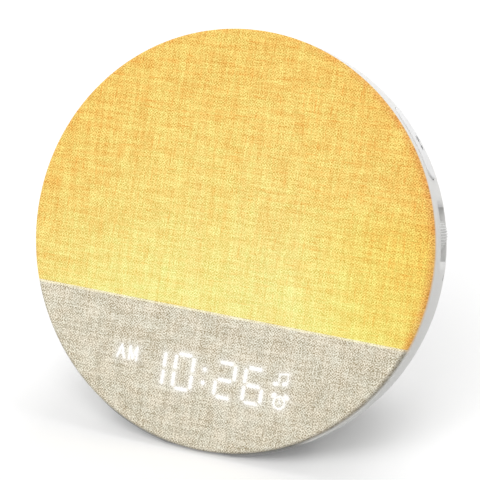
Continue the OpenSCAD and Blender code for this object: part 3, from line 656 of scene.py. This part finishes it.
def mark_display(mesh, inverse, strokes):
    """Stores how strongly the display shines at each vertex: a core and a soft halo."""
    layer = mesh.attributes.new("display", "FLOAT", "POINT")
    left, right, low, high = DISPLAY_FIELD
    for vertex in mesh.vertices:
        place_mm = inverse @ vertex.co / MM
        if left < place_mm.x < right and low < place_mm.y < high and place_mm.z > -1:
            gap = stroke_distance(place_mm.xy, strokes)
            core = 1.0 - min(1.0, max(0.0, (gap + CORE_INSET) / CORE_FADE))
            halo = HALO_SHARE * math.exp(-max(0.0, gap) / HALO_FADE)
            layer.data[vertex.index].value = max(core, halo)


# ---------------------------------------------------------------- linen front

# Lengths are in metres.
RIM_ROUND = 1.4 * MM
FOLD_ROUND = 0.35 * MM
FOLD_REACH = 3.7 * MM  # how far the cloth reaches in behind the ring
SPIN_STEPS = 192
SAME_RADIUS = 1e-6


def linen_outline(radius, wrap):
    """Section of the linen, from the front over the rim to its folded edge."""
    outline = [Vector((radius - RIM_ROUND, 0, 0))]
    for step in range(1, 7):
        a = math.radians(15 * step)
        outline.append(Vector((radius - RIM_ROUND + RIM_ROUND * math.sin(a), 0,
                               RIM_ROUND * math.cos(a) - RIM_ROUND)))
    for step in range(4):
        a = math.radians(30 * step)
        outline.append(Vector((radius - FOLD_ROUND + FOLD_ROUND * math.cos(a), 0,
                               FOLD_ROUND - wrap - FOLD_ROUND * math.sin(a))))
    outline.append(Vector((radius - FOLD_REACH, 0, -wrap)))
    return outline


def put_in_order(bm):
    """Sorts edges and faces by their corners, because a spin leaves some in any order."""
    bm.verts.index_update()
    count = len(bm.verts)
    for parts in (bm.edges, bm.faces):
        parts.sort(key=lambda part: min(v.index for v in part.verts) * count
                   + max(v.index for v in part.verts))


def cut_display_net(bm):
    """Cuts a fine net into the flat front where the display is."""
    cuts = [((x * MM, 0, 0), (1, 0, 0)) for x in NET_X]
    cuts += [((0, y * MM, 0), (0, 1, 0)) for y in NET_Y]
    for spot, normal in cuts:
        flat = [f for f in bm.faces if all(abs(v.co.z) < TINY for v in f.verts)]
        corners, sides = (v for f in flat for v in f.verts), (e for f in flat for e in f.edges)
        parts = once([*flat, *corners, *sides])
        bmesh.ops.bisect_plane(bm, geom=parts, plane_co=spot, plane_no=normal, dist=TINY)
    square = ((NET_X[1] - NET_X[0]) * MM) ** 2
    squares = [f for f in bm.faces if abs(f.calc_area() - square) < TINY and len(f.verts) == 4]
    raise_if(len(squares) != len(NET_X) - 1, "the display's net wasn't cut")
    sides = once(e for f in squares for e in f.edges)
    bmesh.ops.subdivide_edges(bm, edges=sides, cuts=NET_CUTS, use_grid_fill=True)


class CLOCK_OT_linen_front(bpy.types.Operator):
    """Stretch the linen over the front, with the lamp light and the display in it"""

    bl_idname = "clock.linen_front"
    bl_label = "Linen front"

    def execute(self, context):
        have = settings()
        radius = have.front_radius
        bm = bmesh.new()
        verts = [bm.verts.new(p) for p in linen_outline(radius, have.linen_wrap)]
        edges = [bm.edges.new(pair) for pair in zip(verts, verts[1:])]
        bmesh.ops.spin(bm, geom=verts + edges, cent=(0, 0, 0), axis=(0, 0, 1), dvec=(0, 0, 0),
                       angle=2 * math.pi, steps=SPIN_STEPS, use_merge=True, use_duplicate=False)
        put_in_order(bm)
        inner = [e for e in bm.edges if e.is_boundary and
                 all(abs(v.co.xy.length - radius + RIM_ROUND) < SAME_RADIUS for v in e.verts)]
        bmesh.ops.edgeloop_fill(bm, edges=inner)
        cut_display_net(bm)
        bmesh.ops.transform(bm, matrix=face_matrix(), verts=bm.verts)
        bmesh.ops.remove_doubles(bm, verts=bm.verts, dist=TINY)
        bmesh.ops.recalc_face_normals(bm, faces=bm.faces)
        piece = finished_object("linen_front", bm, "clock", linen_material(), 60.0)
        out = face_matrix().to_3x3() @ Vector((0, 0, 1))
        widest = max(piece.data.polygons, key=lambda f: f.area)
        raise_if(widest.normal.dot(out) < 0.9, "the linen is inside out")
        mark_display(piece.data, face_matrix().inverted(), display_strokes(have.hour, have.minute))
        shell = piece.modifiers.new("thickness", "SOLIDIFY")
        shell.thickness = have.linen_thickness
        shell.offset = -1.0
        shell.use_even_offset = True
        shell.use_quality_normals = True
        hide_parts("fabric_cover")
        return {"FINISHED"}


# ---------------------------------------------------------------- housing, keys and wheel

# in face millimetres: where the lit linen's light is painted warm onto the edge beside it, and
# where the shell lies in the shadow of its own foot
PAINTED_SPILL_COLOUR = (0.88, 0.72, 0.52)
PAINTED_SPILL_Z = (-4.8, -3.0)
PAINTED_SPILL_Y = (DIVIDER_Y - 4.0, DIVIDER_Y + 2.0)
PAINTED_SPILL_SHARE = 0.5
CONTACT_Y = (-81.0, -75.5)
CONTACT_SHADE = 0.36
# the keys are a little lighter than the shell, up to a limit
KEY_LIGHTER = 1.12
KEY_LIMIT = 0.97
WHEEL_COLOUR = (0.88, 0.88, 0.86)
PAD_COLOUR = (0.10, 0.10, 0.105)


def housing_material(name, colour):
    """Fine-textured off-white plastic with a faint painted glow of the lit linen on the edge beside
    it.
    """
    material, tree, shader = start_material(name)
    where = face_place(tree)
    axes = split(tree, where)
    flow = noise(tree, where, 0.022, 3.0)
    fine = noise(tree, where, 2.4, 2.0, 0.6)
    dark = tuple(c * 0.97 for c in colour)
    shell = blend(tree, ease(tree, flow, 0.3, 0.7), dark, colour)
    shell = tint(tree, shell, ease(tree, axes[1], *CONTACT_Y, CONTACT_SHADE, 1.0))
    # painted glow: the lit linen's light laid into the colour of the edge just behind it, above the
    # divider
    painted_spill = calc(tree, "MULTIPLY", ease(tree, axes[2], *PAINTED_SPILL_Z, 0.0, PAINTED_SPILL_SHARE),
                ease(tree, axes[1], *PAINTED_SPILL_Y))
    put(tree, shader.inputs["Base Color"], blend(tree, painted_spill, shell, PAINTED_SPILL_COLOUR))
    put(tree, shader.inputs["Roughness"], ease(tree, flow, 0.2, 0.8, 0.42, 0.52))
    bump(tree, shader, fine, 0.04 * MM, 0.4)
    return material


class CLOCK_OT_housing(bpy.types.Operator):
    """Give the moulded housing, its keys and the thumbwheel their smooth plastic finish"""

    bl_idname = "clock.housing"
    bl_label = "Housing, keys and wheel"

    def execute(self, context):
        colour = settings().housing_colour[:]
        shell = housing_material("housing_white", colour)
        smooth_copy("rear_housing", "housing_shell", shell)
        bright = tuple(min(KEY_LIMIT, c * KEY_LIGHTER) for c in colour)
        cap = housing_material("key_white", bright)
        for side in KEYS:
            smooth_copy(side + "_key", side + "_key_cap", cap)
        wheel = moulded("wheel_plastic", WHEEL_COLOUR, 0.42, 0.04, 0.04)
        smooth_copy("volume_wheel", "ribbed_wheel", wheel, 25.0)
        pad = moulded("pad_rubber", PAD_COLOUR, 0.85, 0.12, 0.12, 1400.0)
        frame["nodes"]["base_pad"].material_slots[0].material = pad
        return {"FINISHED"}


# ---------------------------------------------------------------- printed marks

INK_LIFT = 0.02  # in millimetres
INK_THICKNESS = 0.03 * MM
INK_COLOUR = (0.14, 0.14, 0.15)
PALE_INK_COLOUR = (0.42, 0.42, 0.43)
# shapes in millimetres, along the rim and across it
RAYS = [(math.cos(math.radians(45 * step)), math.sin(math.radians(45 * step)))
        for step in range(8)]
LAMP_MARK = [("ring", 1.3, 0, 0.75, 0.2)]
LAMP_MARK += [("bar", 1.3 + 1.2 * c, 1.2 * s, 1.3 + 1.75 * c, 1.75 * s, 0.17) for c, s in RAYS]
LAMP_MARK += [("disc", -1.0, 0.5, 0.3), ("disc", -2.4, 0, 0.9), ("bar", -3.6, 0, -3.5, 0.6, 0.2)]
SOUND_MARK = [("disc", -0.9, -1.3, 0.62), ("disc", 1.3, -1.0, 0.62),
              ("bar", -0.4, -1.3, -0.4, 1.7, 0.15), ("bar", 1.8, -1.0, 1.8, 2.0, 0.15),
              ("bar", -0.45, 1.6, 1.85, 1.9, 0.28)]
ALARM_MARK = [("ring", 0, 0, 1.5, 0.17), ("bar", 0, 0, 0, 0.95, 0.14),
              ("bar", 0, 0, 0.7, 0, 0.14), ("disc", -1.35, 1.6, 0.45), ("disc", 1.35, 1.6, 0.45)]
VOLUME_MARK = [("bar", -1.3, -0.5, -1.3, 0.5, 0.3), ("bar", -0.75, -1.0, -0.75, 1.0, 0.3),
               ("ring", 0.2, 0, 0.5, 0.1)]


def on_rim(direction, along, depth, lift, proud=0.0, crown=DOME_R):
    """A place on the dome or on a crowned key, in face millimetres."""
    tilt = math.asin((KEY_DEPTH - DOME_DEPTH) / DOME_R)
    reach = DOME_R + proud - crown
    behind = depth - DOME_DEPTH - reach * math.sin(tilt)
    rho = reach * math.cos(tilt) + math.sqrt((crown + lift) ** 2 - behind ** 2)
    a = math.radians(direction) + along / rho
    return Vector((rho * math.cos(a), rho * math.sin(a) - DOME_DROP, -depth))


def flat_shape(kind, *sizes):
    """A flat bar, disc or ring as a mesh, in millimetres. A bar has two ends and half its
    width, a disc its middle and radius, and a ring its middle, radius and half its width."""
    part = bmesh.new()
    if kind == "bar":
        x0, y0, x1, y1, half = sizes
        span = Vector((x1 - x0, y1 - y0, 0))
        bmesh.ops.create_grid(part, x_segments=6, y_segments=1, size=1)
        scale = Matrix.Diagonal((span.length / 2, half, 1, 1))
        turn = Matrix.Rotation(math.atan2(span.y, span.x), 4, "Z")
        middle = Matrix.Translation(((x0 + x1) / 2, (y0 + y1) / 2, 0))
        bmesh.ops.transform(part, matrix=middle @ turn @ scale, verts=part.verts)
    elif kind == "disc":
        x, y, radius = sizes
        bmesh.ops.create_circle(part, cap_ends=True, segments=28, radius=radius,
                                matrix=Matrix.Translation((x, y, 0)))
    else:
        x, y, radius, half = sizes
        ring = bmesh.ops.create_circle(part, segments=36, radius=radius - half)["verts"]
        ring += bmesh.ops.create_circle(part, segments=36, radius=radius + half)["verts"]
        bmesh.ops.bridge_loops(part, edges=once(e for v in ring for e in v.link_edges))
        bmesh.ops.translate(part, verts=part.verts, vec=(x, y, 0))
    mesh = bpy.data.meshes.new("part")
    part.to_mesh(mesh)
    part.free()
    return mesh


def print_marks(name, surface, depth, shapes, body, material):
    """Thin printed shapes along and across the rim. The surface is a direction alone on the
    dome, or a row of KEYS."""
    direction = surface[0]
    bm = bmesh.new()
    for shape in shapes:
        mesh = flat_shape(*shape)
        bm.from_mesh(mesh)
        bpy.data.meshes.remove(mesh)
    for vertex in bm.verts:
        place_mm = on_rim(direction, vertex.co.x, depth - vertex.co.y, INK_LIFT, *surface[1:])
        vertex.co = place_mm * MM
    bmesh.ops.transform(bm, matrix=face_matrix(), verts=bm.verts)
    bmesh.ops.recalc_face_normals(bm, faces=bm.faces)
    a = math.radians(direction)
    out = face_matrix().to_3x3() @ Vector((math.cos(a), math.sin(a), 0))
    bmesh.ops.reverse_faces(bm, faces=[f for f in bm.faces if f.normal.dot(out) < 0])
    piece = finished_object(name, bm, body, material, 30.0)
    film = piece.modifiers.new("ink", "SOLIDIFY")
    film.thickness = INK_THICKNESS
    film.offset = 1.0


class CLOCK_OT_printed_marks(bpy.types.Operator):
    """Print the small symbols on the keys and beside the thumbwheel"""

    bl_idname = "clock.printed_marks"
    bl_label = "Printed marks"

    def execute(self, context):
        ink = moulded("print_ink", INK_COLOUR, 0.6, 0.02, 0.06)
        pale = moulded("print_ink_pale", PALE_INK_COLOUR, 0.6, 0.02, 0.06)
        print_marks("key_mark_lamp", KEYS["right"], MARK_DEPTH, LAMP_MARK, "right_key", ink)
        print_marks("key_mark_sound", KEYS["left"], MARK_DEPTH, SOUND_MARK, "left_key", ink)
        print_marks("key_mark_alarm", KEYS["snooze"], MARK_DEPTH, ALARM_MARK, "snooze_key", ink)
        print_marks("wheel_mark", WHEEL_SIDE, WHEEL_MARK_DEPTH, VOLUME_MARK, "clock", pale)
        return {"FINISHED"}


# ---------------------------------------------------------------- inner parts

# solder mask and tracks
GREEN_BOARD = ((0.012, 0.095, 0.04), (0.03, 0.17, 0.07))
WHITE_BOARD = ((0.78, 0.78, 0.74), (0.66, 0.66, 0.60))
# nodes that share a finish, and its kind, colour, roughness and grain
INNER = {
    "white_inner": (("front_ring", "light_baffle", "reflector_dish"),
                    ("moulded", (0.84, 0.84, 0.82), 0.55, 0.05)),
    "opal": (("light_diffuser",), ("moulded", (0.90, 0.87, 0.78), 0.35, 0.03)),
    "smoke": (("display_lens",), ("moulded", (0.035, 0.033, 0.03), 0.16, 0.01)),
    "black_plastic": (("digit_block", "processor_chip", "cell_holder", "power_jack",
                       "encoder_body", "right_switches", "left_switches", "snooze_switches",
                       "right_plungers", "left_plungers", "snooze_plungers"),
                      ("moulded", (0.028, 0.028, 0.03), 0.42, 0.05)),
    "ivory_plastic": (("board_connectors",), ("moulded", (0.74, 0.69, 0.55), 0.45, 0.04)),
    "segment": (("digit_segments",), ("moulded", (0.86, 0.88, 0.90), 0.3, 0.02)),
    "led": (("lamp_leds", "display_leds"), ("moulded", (0.90, 0.76, 0.30), 0.25, 0.02)),
    "cone_paper": (("speaker_cone", "dust_cap"), ("moulded", (0.035, 0.035, 0.038), 0.9, 0.2)),
    "spider_cloth": (("speaker_spider",), ("moulded", (0.50, 0.28, 0.09), 0.85, 0.15)),
    "soft_rubber": (("speaker_surround",), ("moulded", (0.012, 0.012, 0.012), 0.7, 0.05)),
    "foam": (("speaker_gasket",), ("moulded", (0.03, 0.03, 0.032), 0.95, 0.3)),
    "ferrite": (("speaker_magnet",), ("moulded", (0.03, 0.03, 0.033), 0.6, 0.08)),
    "cable_grey": (("display_ribbon", "control_leads"), ("moulded", (0.45, 0.46, 0.48), 0.5, 0.02)),
    "cable_red": (("lamp_leads",), ("moulded", (0.45, 0.03, 0.02), 0.5, 0.02)),
    "cable_black": (("speaker_leads",), ("moulded", (0.02, 0.02, 0.02), 0.5, 0.02)),
    "steel": (("backup_cell", "speaker_frame", "wheel_shaft"), ("metal", (0.56, 0.57, 0.58), 0.3)),
    "zinc_steel": (("speaker_yoke", "speaker_top_plate", "housing_screws", "dish_screws",
                    "lamp_board_screws", "display_screws", "main_board_screws", "speaker_screws",
                    "switch_board_screws"), ("metal", (0.62, 0.63, 0.64), 0.35)),
    "part_metal": (("main_board_parts",), ("metal", (0.66, 0.67, 0.69), 0.3)),
    "copper": (("voice_coil",), ("metal", (0.70, 0.28, 0.12), 0.35)),
}


def board_material(name, mask, track):
    """Circuit board: solder mask over faint tracks."""
    material, tree, shader = start_material(name)
    where = place(tree)
    tracks = tree.nodes.new("ShaderNodeTexBrick")
    tracks.inputs["Scale"].default_value = 260.0
    tracks.inputs["Mortar Size"].default_value = 0.035
    tracks.inputs["Color1"].default_value = (*mask, 1)
    tracks.inputs["Color2"].default_value = (*(c * 1.1 for c in mask), 1)
    tracks.inputs["Mortar"].default_value = (*track, 1)
    tree.links.new(where, tracks.inputs["Vector"])
    put(tree, shader.inputs["Base Color"], tracks.outputs["Color"])
    fine = noise(tree, where, 500.0, 2.0)
    put(tree, shader.inputs["Roughness"], ease(tree, fine, 0.3, 0.7, 0.26, 0.36))
    bump(tree, shader, tracks.outputs["Fac"], 0.02 * MM, 0.4)
    return material


class CLOCK_OT_inner_parts(bpy.types.Operator):
    """Finish the boards, lamps, speaker, screws and leads inside the housing"""

    bl_idname = "clock.inner_parts"
    bl_label = "Inner parts"

    def execute(self, context):
        recipes = {"metal": turned_metal, "moulded": moulded}
        for name, (nodes, (kind, *look)) in INNER.items():
            material = recipes[kind]("finish_" + name, *look)
            for node in nodes:
                frame["nodes"][node].material_slots[0].material = material
        green = board_material("finish_board_green", *GREEN_BOARD)
        white = board_material("finish_board_white", *WHITE_BOARD)
        for node, thing in frame["nodes"].items():
            if node == "lamp_board":
                thing.material_slots[0].material = white
            elif node.endswith("_board"):
                thing.material_slots[0].material = green
        return {"FINISHED"}


# ---------------------------------------------------------------- stage

FLOOR_HALF = 6.0
# the floor's colour and the sky's strength, for light that bounces and for the camera
FLOOR_COLOURS = ((0.50, 0.50, 0.50), (0.88, 0.88, 0.88))
SKY_STRENGTHS = (0.56, 1.0)
FLOOR_GLOW = 0.13
# name, place and size in metres, and power
SOFTBOXES = (
    ("softbox_front", (-0.9, -1.5, 0.9), 1.0, 9.4),
    ("softbox_top", (0.0, -1.1, 1.7), 1.2, 11.1),
    ("softbox_back", (0.1, 0.9, 1.4), 1.2, 10.5),
)
LIGHT_AIM = (0, 0, 0.08)
# the camera's direction from the middle of the face in degrees, its distance in metres, its
# lens in millimetres, and how far right and up of the middle it aims, in millimetres
CAMERA_AZIMUTH = 22.69
CAMERA_ELEVATION = 26.73
CAMERA_DISTANCE = 1.2
CAMERA_LENS = 212.8
AIM_RIGHT = 4.69
AIM_UP = 0.59


def seen_directly(tree):
    """1 for what the camera sees, straight or mirrored, and 0 for light that bounces."""
    path = tree.nodes.new("ShaderNodeLightPath")
    seen = calc(tree, "MAXIMUM", path.outputs["Is Camera Ray"], path.outputs["Is Glossy Ray"])
    return calc(tree, "MAXIMUM", seen, path.outputs["Is Transmission Ray"])


def floor_material():
    """White floor that fades into the background."""
    material, tree, shader = start_material("stage_floor")
    seen = seen_directly(tree)
    put(tree, shader.inputs["Base Color"], blend(tree, seen, *FLOOR_COLOURS))
    shader.inputs["Roughness"].default_value = 0.9
    shader.inputs["Specular IOR Level"].default_value = 0.1
    put(tree, shader.inputs["Emission Color"], WHITE)
    put(tree, shader.inputs["Emission Strength"], calc(tree, "MULTIPLY", seen, FLOOR_GLOW))
    return material


class CLOCK_OT_stage(bpy.types.Operator):
    """Set the floor, the soft lights and the camera"""

    bl_idname = "clock.stage"
    bl_label = "Stage"

    def add_floor(self, collection):
        bm = bmesh.new()
        bmesh.ops.create_grid(bm, x_segments=1, y_segments=1, size=FLOOR_HALF)
        mesh = bpy.data.meshes.new("floor")
        bm.to_mesh(mesh)
        bm.free()
        mesh.materials.append(floor_material())
        floor = bpy.data.objects.new("floor", mesh)
        collection.objects.link(floor)

    def add_lights(self, scene):
        scene.world = bpy.data.worlds.new("studio")
        scene.world.use_nodes = True
        tree = scene.world.node_tree
        sky = tree.nodes["Background"]
        put(tree, sky.inputs["Color"], WHITE)
        strength = ease(tree, seen_directly(tree), 0.0, 1.0, *SKY_STRENGTHS)
        put(tree, sky.inputs["Strength"], strength)
        for name, spot, size, power in SOFTBOXES:
            lamp = bpy.data.lights.new(name, "AREA")
            lamp.size = size
            lamp.energy = power
            holder = bpy.data.objects.new(name, lamp)
            scene.collection.objects.link(holder)
            holder.location = spot
            aim = Vector(LIGHT_AIM) - Vector(spot)
            holder.rotation_euler = aim.to_track_quat("-Z", "Y").to_euler()

    def add_camera(self, scene):
        azimuth, elevation = math.radians(CAMERA_AZIMUTH), math.radians(CAMERA_ELEVATION)
        back = Vector((math.sin(azimuth) * math.cos(elevation),
                       -math.cos(azimuth) * math.cos(elevation), math.sin(elevation)))
        right = Vector((math.cos(azimuth), math.sin(azimuth), 0))
        up = back.cross(right)
        face = face_matrix().to_translation()
        camera = bpy.data.objects.new("camera", bpy.data.cameras.new("camera"))
        scene.collection.objects.link(camera)
        camera.data.sensor_width = 36.0
        camera.data.lens = CAMERA_LENS
        camera.data.clip_start = 0.05
        camera.location = face + back * CAMERA_DISTANCE
        target = face + right * AIM_RIGHT * MM + up * AIM_UP * MM
        camera.rotation_euler = (target - camera.location).to_track_quat("-Z", "Y").to_euler()
        scene.camera = camera

    def execute(self, context):
        self.add_floor(context.scene.collection)
        self.add_lights(context.scene)
        self.add_camera(context.scene)
        context.scene.view_settings.view_transform = "Standard"
        return {"FINISHED"}


# ---------------------------------------------------------------- panel and start


OPERATORS = (
    CLOCK_OT_stage,
    CLOCK_OT_linen_front,
    CLOCK_OT_housing,
    CLOCK_OT_printed_marks,
    CLOCK_OT_inner_parts,
)


class CLOCK_PT_panel(bpy.types.Panel):
    """Lists the clock's sizes, colours and build steps"""

    bl_idname = "CLOCK_PT_panel"
    bl_label = "Round wake-up clock"
    bl_space_type = "VIEW_3D"
    bl_region_type = "UI"
    bl_category = "Clock"

    def draw(self, context):
        for name in ClockSettings.__annotations__:
            self.layout.prop(context.scene.clock_settings, name)
        for operator in OPERATORS:
            self.layout.operator(operator.bl_idname)


CLASSES = (ClockSettings, *OPERATORS, CLOCK_PT_panel)


def register():
    for cls in CLASSES:
        bpy.utils.register_class(cls)
    bpy.types.Scene.clock_settings = bpy.props.PointerProperty(type=ClockSettings)


def unregister():
    del bpy.types.Scene.clock_settings
    for cls in reversed(CLASSES):
        bpy.utils.unregister_class(cls)


def main():
    register()
    bpy.ops.clock.stage()
    bpy.ops.clock.linen_front()
    bpy.ops.clock.housing()
    bpy.ops.clock.printed_marks()
    bpy.ops.clock.inner_parts()


if __name__ == "__main__":
    main()
